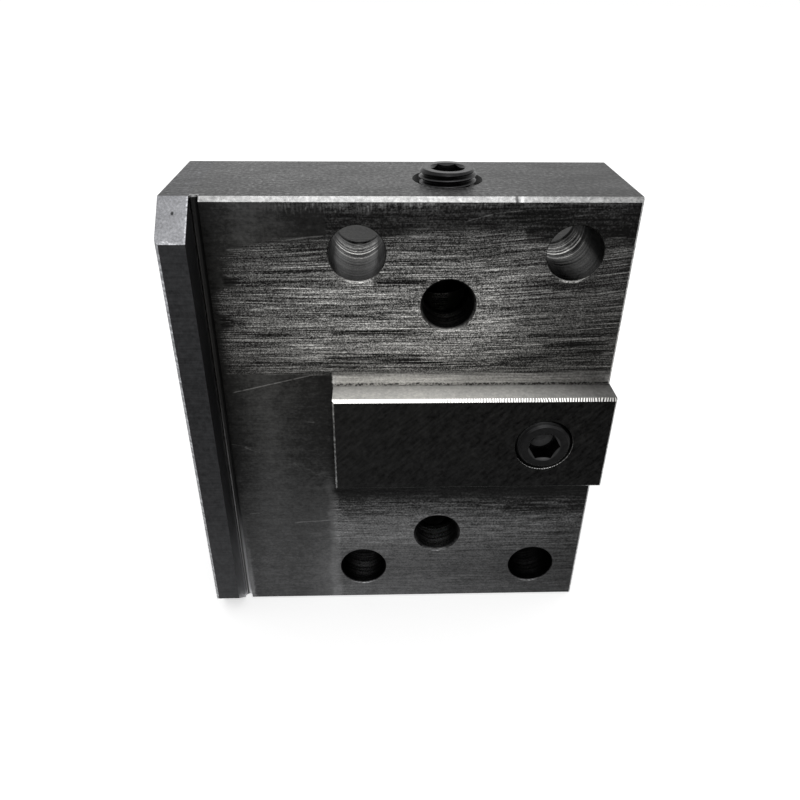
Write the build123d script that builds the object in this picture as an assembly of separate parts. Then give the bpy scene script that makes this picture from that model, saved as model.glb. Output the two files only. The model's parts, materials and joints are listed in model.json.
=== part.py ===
from build123d import *
import os

# U-drill holder for a lathe turret: a steel block that bolts to the turret by its mounting face.
# Axes: X along the drill bore (mouth at -X), Y from the mounting face to the back, Z up.
# Origin: the centre of the four mounting holes, on the mounting face.

# Plate
plate_width = 104.5
plate_height = 120.0
plate_thickness = 33.0
plate_top_chamfer = 1.0
plate_bottom_chamfer = 0.5
plate_edge_break = 0.5

# Four mounting holes for M12 screws, with spot faces for their heads at the back
bolt_pitch_x = 49.0
bolt_to_top_face = 12.5
bolt_to_right_face = 13.5
bolt_hole_diameter = 13.0
bolt_spot_diameter = 20.0
bolt_spot_depth = 6.0
bolt_hole_edge_break = 0.15

# Locating lip along the left edge, with its relief groove
lip_width = 6.5
lip_reach = 7.0
lip_edge_chamfer = 0.8
groove_width = 2.1
groove_depth = 1.8

# Key across the middle of the mounting face
key_length = 69.0
key_width = 27.0
key_reach = 7.0
key_long_chamfer = 0.7
key_end_break = 0.4

# Drill bore and the boss around it
bore_diameter = 32.0
bore_axis_height = 50.0
bore_mouth_chamfer = 1.0
bore_guide_length = 90.0
boss_wall_over_bore = 11.0
boss_shoulder_height = 55.0
boss_spot_gap = 0.5
boss_foot_fillet = 3.0
boss_end_chamfer = 0.5
boss_overhang = 1.0
nose_length = 8.0
nose_wall = 9.0
nose_chamfer = 1.5
rear_chamber_wall_step = 0.5

# Coolant ports in the mounting face and the drilled passages behind them
port_diameter = 12.0
port_chamfer = 0.6
port_x = -3.5
port_pitch_z = 70.0
gallery_depth = 16.0
gallery_diameter = 11.5
gallery_past_port = 3.0
feed_diameter = 8.0
key_plug_to_right_face = 16.5
drill_tip_share = 0.3

# Taper plugs, size R 1/4, with hexagon sockets
plug_diameter = 13.5
plug_length = 10.0
plug_taper = 1 / 16
plug_edge_chamfer = 0.5
plug_socket_across_flats = 7.0
plug_socket_depth = 5.0
plug_thread_depth = 11.0
top_plug_stand = 2.6
top_plug_countersink = 1.5
key_plug_stand = 0.8
key_plug_countersink = 0.6
side_plug_countersink = 0.4

# Clamp screws, M12 with hexagon sockets, in a row along the back of the boss
clamp_screw_diameter = 12.0
clamp_screw_length = 12.0
clamp_screw_edge_chamfer = 0.9
clamp_screw_point_chamfer = 1.6
clamp_screw_socket_across_flats = 6.0
clamp_screw_socket_depth = 5.0
clamp_screw_first = 16.0
clamp_screw_pitch = 18.0
clamp_screw_names = ["front", "middle", "rear"]
clamp_screw_bore_gap = 0.5

# Rear cap that closes the coolant chamber, with its O-ring, screws and spring washers
cap_thickness = 6.0
cap_edge_chamfer = 1.0
cap_rim = 0.4
cap_spigot_length = 9.0
cap_spigot_lead = 0.8
cap_screw_count = 4
cap_screw_circle_wall = 4.5
oring_section = 2.0
oring_width = 2.6
oring_corner = 0.6
oring_from_face = 3.0
cap_screw_diameter = 5.0
cap_screw_length = 16.0
cap_screw_head_diameter = 8.5
cap_screw_head_height = 3.5
cap_screw_socket_across_flats = 3.0
cap_screw_socket_depth = 2.0
cap_screw_edge_break = 0.4
cap_screw_hole_play = 0.5
cap_screw_tap_spare = 2.5
washer_outer_diameter = 9.2
washer_inner_diameter = 5.3
washer_thickness = 1.2
washer_slit = 0.8

# Clearances
thread_clearance = 0.05
spigot_clearance = 0.05
oring_clearance = 0.02
cut_over = 5.0

# Places that follow from the sizes above
right_face = bolt_pitch_x / 2 + bolt_to_right_face
left_face = right_face - plate_width
top_face = plate_height / 2
bolt_pitch_z = 2 * (top_face - bolt_to_top_face)
lip_inner_face = left_face + lip_width
key_left_end = right_face - key_length
nose_face = left_face - nose_length
boss_end_face = right_face + boss_overhang
bore_radius = bore_diameter / 2
boss_half_width = (bolt_pitch_z - bolt_spot_diameter) / 2 - boss_spot_gap
boss_land = bore_axis_height + bore_radius + boss_wall_over_bore
chamber_start = nose_face + bore_guide_length
chamber_radius = bore_radius + rear_chamber_wall_step
key_plug_x = right_face - key_plug_to_right_face
cap_screw_circle = chamber_radius + cap_screw_circle_wall
cap_radius = cap_screw_circle + washer_outer_diameter / 2 + cap_rim


def span_box(x_range, y_range, z_range):
    """Box between two corners, given as the range along each axis."""
    sizes = [high - low for low, high in (x_range, y_range, z_range)]
    centre = [(high + low) / 2 for low, high in (x_range, y_range, z_range)]
    return Pos(*centre) * Box(*sizes)


def bar_along(direction, start, radius, length, end_radius=None):
    """Round bar or cone that leaves the start point along a direction."""
    plane = Plane(origin=start, z_dir=direction)
    align = (Align.CENTER, Align.CENTER, Align.MIN)
    if end_radius is None:
        return plane * Cylinder(radius, length, align=align)
    return plane * Cone(radius, end_radius, length, align=align)


def hexagon_socket(direction, start, across_flats, depth):
    """Hexagonal recess that goes in from the start point along a direction."""
    plane = Plane(origin=start, z_dir=direction)
    return extrude(plane * RegularPolygon(across_flats / 2, 6, major_radius=False), amount=depth)


def chamfer_edges_at(solid, axis, size, **place):
    """Chamfer of the straight edges along an axis whose centre lies at the given place."""

    def is_there(edge):
        centre = edge.center()
        return all(abs(getattr(centre, name) - value) < 0.01 for name, value in place.items())

    edges = solid.edges().filter_by(axis).filter_by(is_there)
    return chamfer(edges, length=size)


def yz_extrusion(points, x_range):
    """Solid from an outline of (y, z) points, drawn out between two places along X."""
    plane = Plane(origin=(x_range[0], 0, 0), x_dir=(0, 1, 0), z_dir=(1, 0, 0))
    outline = make_face(Polyline(*points, close=True))
    return extrude(plane * outline, amount=x_range[1] - x_range[0])


def make_plate():
    """The flat block, with its front chamfers and broken edges."""
    broken = plate_edge_break
    points = [
        (plate_thickness, top_face - broken),
        (plate_thickness - broken, top_face),
        (plate_top_chamfer, top_face),
        (0, top_face - plate_top_chamfer),
        (0, plate_bottom_chamfer - top_face),
        (plate_bottom_chamfer, -top_face),
        (plate_thickness - broken, -top_face),
        (plate_thickness, broken - top_face),
    ]
    plate = yz_extrusion(points, (left_face, right_face))
    plate = chamfer_edges_at(plate, Axis.Z, broken, X=right_face, Y=0)
    plate = chamfer_edges_at(plate, Axis.Z, broken, X=right_face, Y=plate_thickness)
    return chamfer_edges_at(plate, Axis.Z, broken, X=left_face, Y=plate_thickness)


def make_lip():
    """The lip, whose ends lie in the planes of the plate's front chamfers."""
    top_end = top_face - plate_top_chamfer - lip_reach
    bottom_end = plate_bottom_chamfer + lip_reach - top_face
    points = [
        (plate_top_chamfer, top_face),
        (-lip_reach, top_end),
        (-lip_reach, bottom_end),
        (plate_bottom_chamfer, -top_face),
    ]
    lip = yz_extrusion(points, (left_face, lip_inner_face))
    return chamfer_edges_at(lip, Axis.Z, lip_edge_chamfer, X=left_face, Y=-lip_reach)


def make_key():
    """The key, flush with the right face of the plate."""
    half_width = key_width / 2
    chamfered = key_long_chamfer
    half = [
        (plate_edge_break, half_width),
        (chamfered - key_reach, half_width),
        (-key_reach, half_width - chamfered),
    ]
    mirrored = [(y, -z) for y, z in reversed(half)]
    key = yz_extrusion(half + mirrored, (key_left_end, right_face))
    key = chamfer_edges_at(key, Axis.Z, key_end_break, X=key_left_end, Y=-key_reach)
    return chamfer_edges_at(key, Axis.Z, key_end_break, X=right_face, Y=-key_reach)


def boss_block(start_y, x_range):
    """A length of the boss: square, with bevelled shoulders and a flat land for the clamp screws."""
    bevel = boss_land - boss_shoulder_height
    half = [
        (start_y, boss_half_width),
        (boss_shoulder_height, boss_half_width),
        (boss_land, boss_half_width - bevel),
    ]
    mirrored = [(y, -z) for y, z in reversed(half)]
    return yz_extrusion(half + mirrored, x_range)


def make_boss():
    """The square boss around the drill bore, flush with both sides of the plate."""
    block = boss_block(plate_thickness - plate_edge_break, (left_face, right_face))
    mouth_end = block.faces().sort_by(Axis.X)[0].edges()
    return chamfer([edge for edge in mouth_end if edge.center().Y > plate_thickness], length=boss_end_chamfer)


def make_end_pad():
    """The rear end of the boss, which stands proud of the plate and carries the whole rear cap."""
    x_range = (right_face - plate_edge_break, boss_end_face)
    pad = boss_block(bore_axis_height - cap_radius, x_range)
    return chamfer(pad.faces().sort_by(Axis.X)[-1].edges(), length=boss_end_chamfer)


def make_nose():
    """The turned collar round the mouth of the drill bore."""
    start = (nose_face, bore_axis_height, 0)
    collar = bar_along((1, 0, 0), start, bore_radius + nose_wall, nose_length + boss_end_chamfer)
    front_edge = collar.edges().filter_by(GeomType.CIRCLE).sort_by(Axis.X)[0]
    return chamfer(front_edge, length=nose_chamfer)


def fillet_boss_foot(body):
    """Fillet along the two corners where the boss stands on the plate."""

    def is_foot(edge):
        centre = edge.center()
        at_back = abs(centre.Y - plate_thickness) < 0.01
        return at_back and abs(abs(centre.Z) - boss_half_width) < 0.01

    feet = body.edges().filter_by(Axis.X).filter_by(is_foot)
    return fillet(feet, radius=boss_foot_fillet)


def cut_groove():
    """Relief groove at the foot of the lip, with a round bottom."""
    radius = groove_width / 2
    centre_x = lip_inner_face + radius
    depth = groove_depth - radius
    x_range = (lip_inner_face, lip_inner_face + groove_width)
    slot = span_box(x_range, (-lip_reach - cut_over, depth), (-top_face - cut_over, top_face + cut_over))
    start = (centre_x, depth, -top_face - cut_over)
    return slot + bar_along((0, 0, 1), start, radius, plate_height + 2 * cut_over)


def bolt_places():
    """Places of the mounting holes, as (x, z)."""
    return [(x * bolt_pitch_x / 2, z * bolt_pitch_z / 2) for x in (-1, 1) for z in (-1, 1)]


def cut_bolt_holes():
    """The four through holes, with spot faces at the back and broken edges at the front."""
    radius = bolt_hole_diameter / 2
    edge = bolt_hole_edge_break
    cuts = []
    for x, z in bolt_places():
        cuts.append(bar_along((0, 1, 0), (x, -cut_over, z), radius, plate_thickness + 2 * cut_over))
        spot_start = (x, plate_thickness - bolt_spot_depth, z)
        cuts.append(bar_along((0, 1, 0), spot_start, bolt_spot_diameter / 2, bolt_spot_depth + cut_over))
        cuts.append(bar_along((0, 1, 0), (x, 0, z), radius + edge, edge, radius))
    return cuts


def cut_drill_bore():
    """The bore for the drill shank, its mouth and the coolant chamber behind it."""
    mouth = bore_mouth_chamfer
    guide = bar_along((1, 0, 0), (nose_face, bore_axis_height, 0), bore_radius, bore_guide_length)
    flare_start = (nose_face, bore_axis_height, 0)
    flare = bar_along((1, 0, 0), flare_start, bore_radius + mouth, mouth, bore_radius)
    chamber_length = boss_end_face - chamber_start + cut_over
    chamber = bar_along((1, 0, 0), (chamber_start, bore_axis_height, 0), chamber_radius, chamber_length)
    return [guide, flare, chamber]


def cut_ports_and_gallery():
    """The two coolant ports, and the gallery that joins them to the top plug."""
    radius = port_diameter / 2
    gallery_radius = gallery_diameter / 2
    cuts = []
    for side in (-1, 1):
        z = side * port_pitch_z / 2
        cuts.append(bar_along((0, 1, 0), (port_x, -cut_over, z), radius, gallery_depth + cut_over))
        cuts.append(bar_along((0, 1, 0), (port_x, 0, z), radius + port_chamfer, port_chamfer, radius))
    gallery_end = -port_pitch_z / 2 - radius - gallery_past_port
    start = (port_x, gallery_depth, top_face + cut_over)
    cuts.append(bar_along((0, 0, -1), start, gallery_radius, top_face + cut_over - gallery_end))
    tip_start = (port_x, gallery_depth, gallery_end)
    tip_length = gallery_diameter * drill_tip_share
    cuts.append(bar_along((0, 0, -1), tip_start, gallery_radius, tip_length, 0))
    return cuts


def cut_feeds():
    """The cross feed from the gallery, and the feed from the key face to the coolant chamber."""
    radius = feed_diameter / 2
    cross_start = (port_x, gallery_depth, 0)
    cross = bar_along((1, 0, 0), cross_start, radius, right_face - port_x + cut_over)
    feed_length = key_reach + bore_axis_height
    feed = bar_along((0, 1, 0), (key_plug_x, -key_reach, 0), radius, feed_length)
    return [cross, feed]


def plug_radius_at(depth):
    """Radius of a taper plug at a depth below its outer end."""
    return (plug_diameter - depth * plug_taper) / 2


def cut_plug_seat(direction, mouth, stand, countersink):
    """Tapered seat for a plug that stands above the face, and the countersink round it."""
    seat_radius = plug_radius_at(stand) + thread_clearance
    seat_end = plug_radius_at(stand + plug_thread_depth) + thread_clearance
    seat = bar_along(direction, mouth, seat_radius, plug_thread_depth, seat_end)
    return [seat, bar_along(direction, mouth, seat_radius + countersink, countersink, seat_radius)]


def make_plug(direction, mouth, stand):
    """Taper plug screwed in along a direction, with its outer end standing above the face."""
    inward = Vector(*direction)
    outer = Vector(*mouth) - inward * stand
    plug = bar_along(direction, outer, plug_radius_at(0), plug_length, plug_radius_at(plug_length))
    plug = chamfer(plug.edges().filter_by(GeomType.CIRCLE), length=plug_edge_chamfer)
    return plug - hexagon_socket(direction, outer, plug_socket_across_flats, plug_socket_depth)


def plug_seats():
    """Direction, mouth, stand and countersink of each plug, by name."""
    return {
        "top": ((0, 0, -1), (port_x, gallery_depth, top_face), top_plug_stand, top_plug_countersink),
        "key": ((0, 1, 0), (key_plug_x, -key_reach, 0), key_plug_stand, key_plug_countersink),
        "side": ((-1, 0, 0), (right_face, gallery_depth, 0), 0, side_plug_countersink),
    }


def clamp_screw_places():
    """Place along X of each clamp screw, by name."""
    first = nose_face + clamp_screw_first
    return {name: first + number * clamp_screw_pitch for number, name in enumerate(clamp_screw_names)}


def cut_clamp_holes():
    """Tapped holes from the land on the boss into the bore."""
    radius = clamp_screw_diameter / 2 + thread_clearance
    length = boss_land + cut_over - bore_axis_height
    places = clamp_screw_places().values()
    return [bar_along((0, 1, 0), (x, bore_axis_height, 0), radius, length) for x in places]


def make_clamp_screw(x):
    """Set screw, drawn back until its point is clear of the bore."""
    radius = clamp_screw_diameter / 2
    point = bore_axis_height + bore_radius + clamp_screw_bore_gap
    outer = point + clamp_screw_length
    screw = bar_along((0, 1, 0), (x, point, 0), radius, clamp_screw_length)
    ends = screw.edges().filter_by(GeomType.CIRCLE).sort_by(Axis.Y)
    screw = chamfer(ends[0], length=clamp_screw_point_chamfer)
    outer_end = screw.edges().filter_by(GeomType.CIRCLE).sort_by(Axis.Y)[-1]
    screw = chamfer(outer_end, length=clamp_screw_edge_chamfer)
    across = clamp_screw_socket_across_flats
    return screw - hexagon_socket((0, -1, 0), (x, outer, 0), across, clamp_screw_socket_depth)


def cap_screw_places():
    """Places of the cap screws, as (y, z), spread evenly and half a step off the vertical."""
    ring = PolarLocations(cap_screw_circle, cap_screw_count, start_angle=180 / cap_screw_count)
    return [(bore_axis_height + place.position.X, place.position.Y) for place in ring]


def cut_cap_screw_holes():
    """Tapped holes for the cap screws in the end of the boss."""
    radius = cap_screw_diameter / 2 + thread_clearance
    depth = cap_screw_length - cap_thickness - washer_thickness + cap_screw_tap_spare
    start_x = boss_end_face - depth
    return [bar_along((1, 0, 0), (start_x, y, z), radius, depth + cut_over) for y, z in cap_screw_places()]


def make_holder_body():
    """The whole machined block."""
    body = fillet_boss_foot(make_plate() + make_boss())
    body = body + make_end_pad() + make_nose() + make_lip() + make_key()
    cuts = [cut_groove()] + cut_bolt_holes() + cut_drill_bore() + cut_ports_and_gallery() + cut_feeds()
    cuts = cuts + cut_clamp_holes() + cut_cap_screw_holes()
    for direction, mouth, stand, countersink in plug_seats().values():
        cuts = cuts + cut_plug_seat(direction, mouth, stand, countersink)
    return body - cuts


def make_rear_cap():
    """Round cover with a spigot, an O-ring groove and four screw holes."""
    spigot_radius = chamber_radius - spigot_clearance
    face = (boss_end_face, bore_axis_height, 0)
    disc = bar_along((1, 0, 0), face, cap_radius, cap_thickness)
    disc = chamfer(disc.edges().filter_by(GeomType.CIRCLE).sort_by(Axis.X)[-1], length=cap_edge_chamfer)
    spigot = bar_along((-1, 0, 0), face, spigot_radius, cap_spigot_length)
    lead_edge = spigot.edges().filter_by(GeomType.CIRCLE).sort_by(Axis.X)[0]
    spigot = chamfer(lead_edge, length=cap_spigot_lead)
    groove_start = (boss_end_face - oring_from_face, bore_axis_height, 0)
    groove = bar_along((-1, 0, 0), groove_start, chamber_radius, oring_width)
    groove = groove - bar_along((-1, 0, 0), groove_start, chamber_radius - oring_section, oring_width)
    hole_radius = (cap_screw_diameter + cap_screw_hole_play) / 2
    hole_start = boss_end_face - cut_over
    hole_length = cap_thickness + 2 * cut_over
    places = cap_screw_places()
    holes = [bar_along((1, 0, 0), (hole_start, y, z), hole_radius, hole_length) for y, z in places]
    return disc + spigot - [groove] - holes


def make_oring():
    """O-ring squeezed flat between the groove and the wall of the chamber."""
    gap = oring_clearance
    centre_radius = chamber_radius - oring_section / 2
    centre_x = boss_end_face - oring_from_face - oring_width / 2
    plane = Plane(origin=(centre_x, bore_axis_height, 0), x_dir=(1, 0, 0), z_dir=(0, 0, 1))
    section = Rectangle(oring_width - 2 * gap, oring_section - 2 * gap)
    section = chamfer(section.vertices(), length=oring_corner)
    ring = plane * Pos(0, centre_radius) * section
    return revolve(ring, axis=Axis((0, bore_axis_height, 0), (1, 0, 0)))


def make_cap_screw(y, z):
    """Low socket head screw through the cap, with its head on the spring washer."""
    head_start = boss_end_face + cap_thickness + washer_thickness
    shank = bar_along((-1, 0, 0), (head_start, y, z), cap_screw_diameter / 2, cap_screw_length)
    shank = chamfer(shank.edges().filter_by(GeomType.CIRCLE).sort_by(Axis.X)[0], length=cap_screw_edge_break)
    head = bar_along((1, 0, 0), (head_start, y, z), cap_screw_head_diameter / 2, cap_screw_head_height)
    head = chamfer(head.edges().filter_by(GeomType.CIRCLE).sort_by(Axis.X)[-1], length=cap_screw_edge_break)
    top = (head_start + cap_screw_head_height, y, z)
    socket = hexagon_socket((-1, 0, 0), top, cap_screw_socket_across_flats, cap_screw_socket_depth)
    return shank + head - socket


def make_spring_washer(y, z):
    """Split ring under a screw head, pressed flat."""
    start = (boss_end_face + cap_thickness, y, z)
    outer_radius = washer_outer_diameter / 2
    ring = bar_along((1, 0, 0), start, outer_radius, washer_thickness)
    ring = ring - bar_along((1, 0, 0), start, washer_inner_diameter / 2, washer_thickness)
    slit_x = (start[0] - cut_over, start[0] + washer_thickness + cut_over)
    slit = span_box(slit_x, (y, y + outer_radius + cut_over), (z - washer_slit / 2, z + washer_slit / 2))
    return ring - slit


def make_all():
    """Every node of the holder, by name."""
    nodes = {"holder_body": make_holder_body()}
    for name, (direction, mouth, stand, countersink) in plug_seats().items():
        nodes["coolant_plug_" + name] = make_plug(direction, mouth, stand)
    for name, x in clamp_screw_places().items():
        nodes["clamp_screw_" + name] = make_clamp_screw(x)
    nodes["rear_cap"] = make_rear_cap()
    nodes["rear_cap_oring"] = make_oring()
    for number, (y, z) in enumerate(cap_screw_places(), start=1):
        nodes[f"rear_cap_screw_{number}"] = make_cap_screw(y, z)
        nodes[f"rear_cap_spring_washer_{number}"] = make_spring_washer(y, z)
    return nodes


os.makedirs("parts", exist_ok=True)
for node_name, node_shape in make_all().items():
    export_step(node_shape, f"parts/{node_name}.step")
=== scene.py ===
import json
import math

import bmesh
import bpy
from mathutils import Matrix, Vector


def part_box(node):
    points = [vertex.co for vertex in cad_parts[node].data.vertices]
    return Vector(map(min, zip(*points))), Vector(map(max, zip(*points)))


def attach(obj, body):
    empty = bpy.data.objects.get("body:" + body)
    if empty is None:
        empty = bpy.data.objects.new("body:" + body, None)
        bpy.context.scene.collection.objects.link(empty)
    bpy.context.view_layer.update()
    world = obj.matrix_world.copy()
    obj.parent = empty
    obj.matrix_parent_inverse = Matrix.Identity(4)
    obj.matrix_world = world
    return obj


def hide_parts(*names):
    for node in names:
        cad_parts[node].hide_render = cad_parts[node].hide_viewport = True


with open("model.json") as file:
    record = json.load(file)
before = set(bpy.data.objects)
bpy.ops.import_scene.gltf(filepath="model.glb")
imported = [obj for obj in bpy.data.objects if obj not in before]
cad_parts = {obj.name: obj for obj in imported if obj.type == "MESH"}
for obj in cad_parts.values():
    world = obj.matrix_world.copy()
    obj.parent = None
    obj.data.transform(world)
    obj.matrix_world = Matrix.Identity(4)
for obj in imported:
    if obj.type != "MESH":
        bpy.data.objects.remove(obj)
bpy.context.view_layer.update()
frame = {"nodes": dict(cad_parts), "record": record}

bl_info = {
    "name": "Drill Holder Looks",
    "version": (1, 0, 0),
    "blender": (4, 5, 0),
    "location": "3D View > Sidebar > Drill Holder",
    "description": "Finishes, threaded plugs and screws, and a soft studio for a turret drill holder",
    "category": "Object",
}

MM = 0.001
FULL = 255.0    # brightness of white

# Places that the frame gives, in millimetres
mounts = {mount["name"]: mount for mount in frame["record"]["mounts"]}
bolt_half_x = mounts["turret_bolts"]["dims"]["spacing_x_mm"] / 2
bolt_half_z = mounts["turret_bolts"]["dims"]["spacing_y_mm"] / 2
bolt_radius = mounts["turret_bolts"]["dims"]["hole_r_mm"]
port_x = mounts["coolant_port_upper"]["pos_m"][0] / MM
port_z = mounts["coolant_port_upper"]["pos_m"][2] / MM
port_radius = mounts["coolant_port_upper"]["dims"]["r_mm"]
lip_inner = mounts["locating_lip"]["pos_m"][0] / MM
key_top = mounts["turret_key_upper_flank"]["pos_m"][2] / MM
bore_axis_y = mounts["drill_bore"]["pos_m"][1] / MM
bore_radius = mounts["drill_bore"]["dims"]["r_mm"]
body_low, body_high = (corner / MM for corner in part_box("holder_body"))
top_face = body_high.z
key_face = body_low.y

# Places and sizes of marks on the block, in millimetres
key_left = -31.0
plate_left = -66.5
plate_back = 33.0
spot_face_y = 27.0
spot_face_radius = 10.0
groove_right = lip_inner + 2.1
groove_depth = 2.3
bevel_depth = 1.25
port_bevel_depth = 0.6
top_seat_radius = 8.5
key_seat_radius = 7.3
top_seat_depth = 14.5
key_seat_depth = 15.5
cutter_radius = 40.0

# Long single scratches on the mounting face: both ends as (x, z), and how bright they are
SCRATCH_HALF_WIDTH = 0.13
SINGLE_SCRATCHES = [
    ((-55.9, 11.8), (-34.8, 17.0), 62),
    ((-58.5, -3.1), (-50.2, -6.4), 34),
    ((-44.8, -8.9), (-32.3, -15.3), 16),
    ((-39.2, 3.2), (-36.4, 2.8), 34),
    ((-42.0, 50.4), (-30.5, 51.8), 60),
    ((-53.0, 48.6), (-32.0, 49.3), 50),
    ((-54.8, 42.7), (-38.0, 41.3), 60),
    ((-57.0, 33.2), (-46.0, 33.0), 50),
    ((-57.2, 17.3), (-38.0, 16.9), 50),
    ((-0.3, 54.9), (4.5, 56.3), 46),
    ((4.5, 56.3), (12.5, 57.4), 40),
    ((13.0, 54.4), (30.0, 56.9), 24),
    ((-43.3, -30.5), (-30.7, -29.6), 36),
    ((-55.8, -27.2), (-53.0, -27.0), 40),
]

# Places where the turret didn't rub: both ends of a dark streak, half its width and how much darker it is
DARK_STREAKS = [
    ((-36.0, 40.5), (-27.0, 40.3), 0.45, 34),
    ((-21.0, 40.6), (-8.5, 40.7), 0.65, 84),
    ((-32.0, 32.5), (-17.0, 32.3), 0.4, 52),
    ((-27.0, 31.2), (-8.0, 31.5), 0.25, 36),
    ((-32.0, 28.1), (-6.0, 28.0), 0.45, 66),
    ((-34.0, 21.4), (-9.0, 20.8), 0.4, 50),
    ((-16.0, 19.9), (8.0, 20.2), 0.3, 44),
    ((8.0, 20.3), (36.0, 22.7), 0.5, 44),
    ((16.0, 27.4), (35.0, 27.0), 0.5, 40),
    ((20.0, 24.4), (36.0, 25.2), 0.6, 40),
    ((12.0, 40.3), (22.0, 40.5), 0.3, 30),
    ((-55.0, 41.0), (-35.0, 40.4), 0.8, 26),
    ((-56.0, 31.2), (-50.0, 30.8), 1.4, 22),
    ((14.0, -26.4), (38.0, -26.6), 1.0, 22),
    ((-30.0, -27.0), (-21.0, -27.0), 1.6, 20),
]


def linear_channel(value):
    """Linear value of one sRGB channel, both from 0 to 1."""
    return value / 12.92 if value <= 0.04045 else ((value + 0.055) / 1.055) ** 2.4


def linear(hex_colour):
    """Linear RGBA of an sRGB hex colour."""
    channels = (int(hex_colour[start:start + 2], 16) / FULL for start in (1, 3, 5))
    return tuple(linear_channel(channel) for channel in channels) + (1.0,)


def connect(tree, node, links):
    """Fills a node's inputs, by name or place, with numbers, colours, sockets, nodes or Numbers."""
    for name, value in links.items():
        if isinstance(name, int):
            socket = node.inputs[name]
        else:
            socket = next(s for s in node.inputs if s.enabled and s.name == name)
        value = getattr(value, "socket", value)
        if isinstance(value, bpy.types.Node):
            value = next(s for s in value.outputs if s.enabled)
        if isinstance(value, bpy.types.NodeSocket):
            tree.links.new(value, socket)
        else:
            socket.default_value = value


def add(tree, kind, links=None, settings=None, stops=None):
    """Adds a shader node with its links, its settings and the (place, colour) stops of its ramp."""
    node = tree.nodes.new("ShaderNode" + kind)
    for name, value in (settings or {}).items():
        setattr(node, name, value)
    connect(tree, node, links or {})
    if stops:
        elements = node.color_ramp.elements
        while len(elements) < len(stops):
            elements.new(0.5)
        for element, (place, colour) in zip(elements, stops):
            element.position = place
            element.color = colour
    return node


class Number:
    """A number that differs over a surface, so that its formulas can be written as plain sums."""

    def __init__(self, tree, socket):
        self.tree = tree
        self.socket = socket

    def worked(self, operation, *others):
        """The result of one Math operation on this number."""
        links = dict(enumerate((self,) + others))
        return Number(self.tree, add(self.tree, "Math", links, {"operation": operation}).outputs[0])

    def __add__(self, other):
        return self.worked("ADD", other)

    def __sub__(self, other):
        return self.worked("SUBTRACT", other)

    def __mul__(self, other):
        return self.worked("MULTIPLY", other)

    def __truediv__(self, other):
        return self.worked("DIVIDE", other)

    def __pow__(self, other):
        return self.worked("POWER", other)

    def __abs__(self):
        return self.worked("ABSOLUTE")

    def at_least(self, other):
        return self.worked("MAXIMUM", other)

    def at_most(self, other):
        return self.worked("MINIMUM", other)

    def __neg__(self):
        return self * -1.0

    def __rsub__(self, other):
        return -self + other

    __radd__ = __add__
    __rmul__ = __mul__

    def rise(self, start, full):
        """0 at the start, 1 from full on, and a smooth slope between them. Full may be the lower one."""
        links = {"Value": self, "From Min": start, "From Max": full}
        node = add(self.tree, "MapRange", links, {"interpolation_type": "SMOOTHSTEP"})
        return Number(self.tree, node.outputs[0])

    def band(self, low, high, soft):
        """1 between two values, with soft ends."""
        return self.rise(low - soft, low + soft) * self.rise(high + soft, high - soft)

    def square_on(self):
        """1 where this part of a normal says that the surface faces straight along the axis, else 0."""
        return self.rise(0.90, 0.97)

    def from_pair(self, half_pitch):
        """How far this number is from the nearer of two places, at plus and minus half a pitch."""
        return self - self.worked("SIGN") * half_pitch

    def levels(self, *stops):
        """A value for each place along this number, from (place, value) stops with straight lines between."""
        curve = add(self.tree, "FloatCurve", {"Value": self})
        mapping = curve.mapping
        mapping.use_clip = False
        mapping.extend = "HORIZONTAL"
        points = mapping.curves[0].points
        points[0].location = stops[0]
        points[1].location = stops[-1]
        for place, value in stops[1:-1]:
            points.new(place, value)
        for point in points:
            point.handle_type = "VECTOR"
        mapping.update()
        return Number(self.tree, curve.outputs[0])


def blend(below, above, mask):
    """The value above where the mask is 1, and the value below where it is 0."""
    return (above - below) * mask + below


def layered(tone, *layers):
    """A brightness with others laid over it one by one, each as (value, mask)."""
    for value, mask in layers:
        tone = blend(tone, value, mask)
    return tone


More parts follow.
